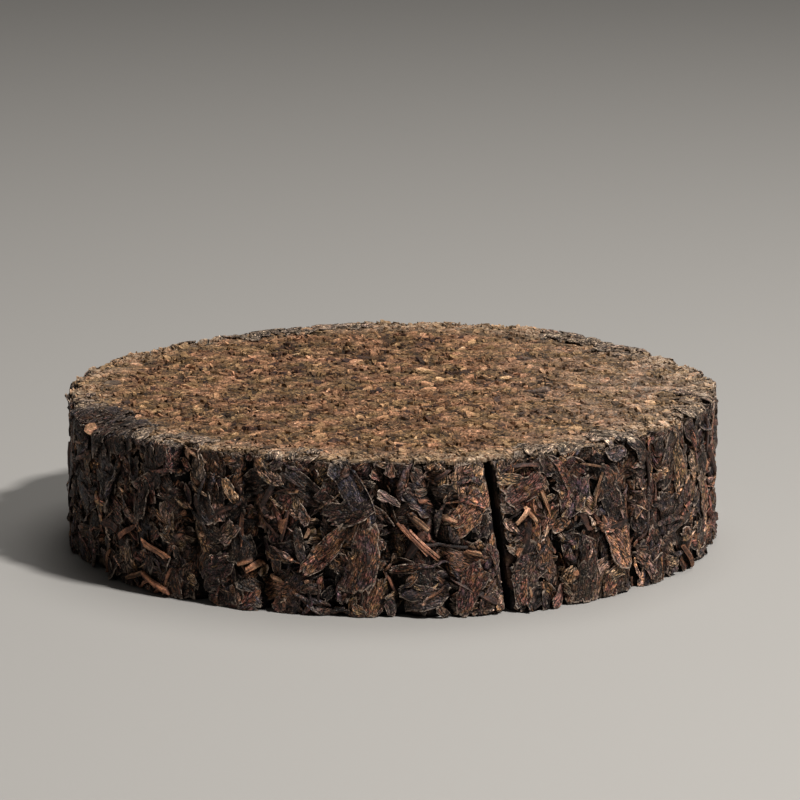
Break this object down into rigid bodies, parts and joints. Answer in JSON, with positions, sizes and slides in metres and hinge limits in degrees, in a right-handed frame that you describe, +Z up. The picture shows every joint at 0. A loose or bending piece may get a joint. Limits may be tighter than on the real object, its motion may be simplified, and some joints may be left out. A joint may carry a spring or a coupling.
{
  "type": "dark tea cake",
  "caption": "Thick round slice of pressed dark tea, with a fluted leafy side, a deep slot and a flat sawn top and base.",
  "frame": {"origin": "the middle of the flat base, on the log's axis", "axes": "+Z up through the thickness, +X to the right, -Y to the front, where the deep slot is a little right of the middle"},
  "size_m": [0.2038, 0.2087, 0.0474],
  "materials": {
    "pressed_tea": "matte dark brown pressed tea leaves, with a paler sawn top"
  },
  "bodies": {
    "root": {"tea_cake": "pressed_tea"}
  },
  "joints": []
}
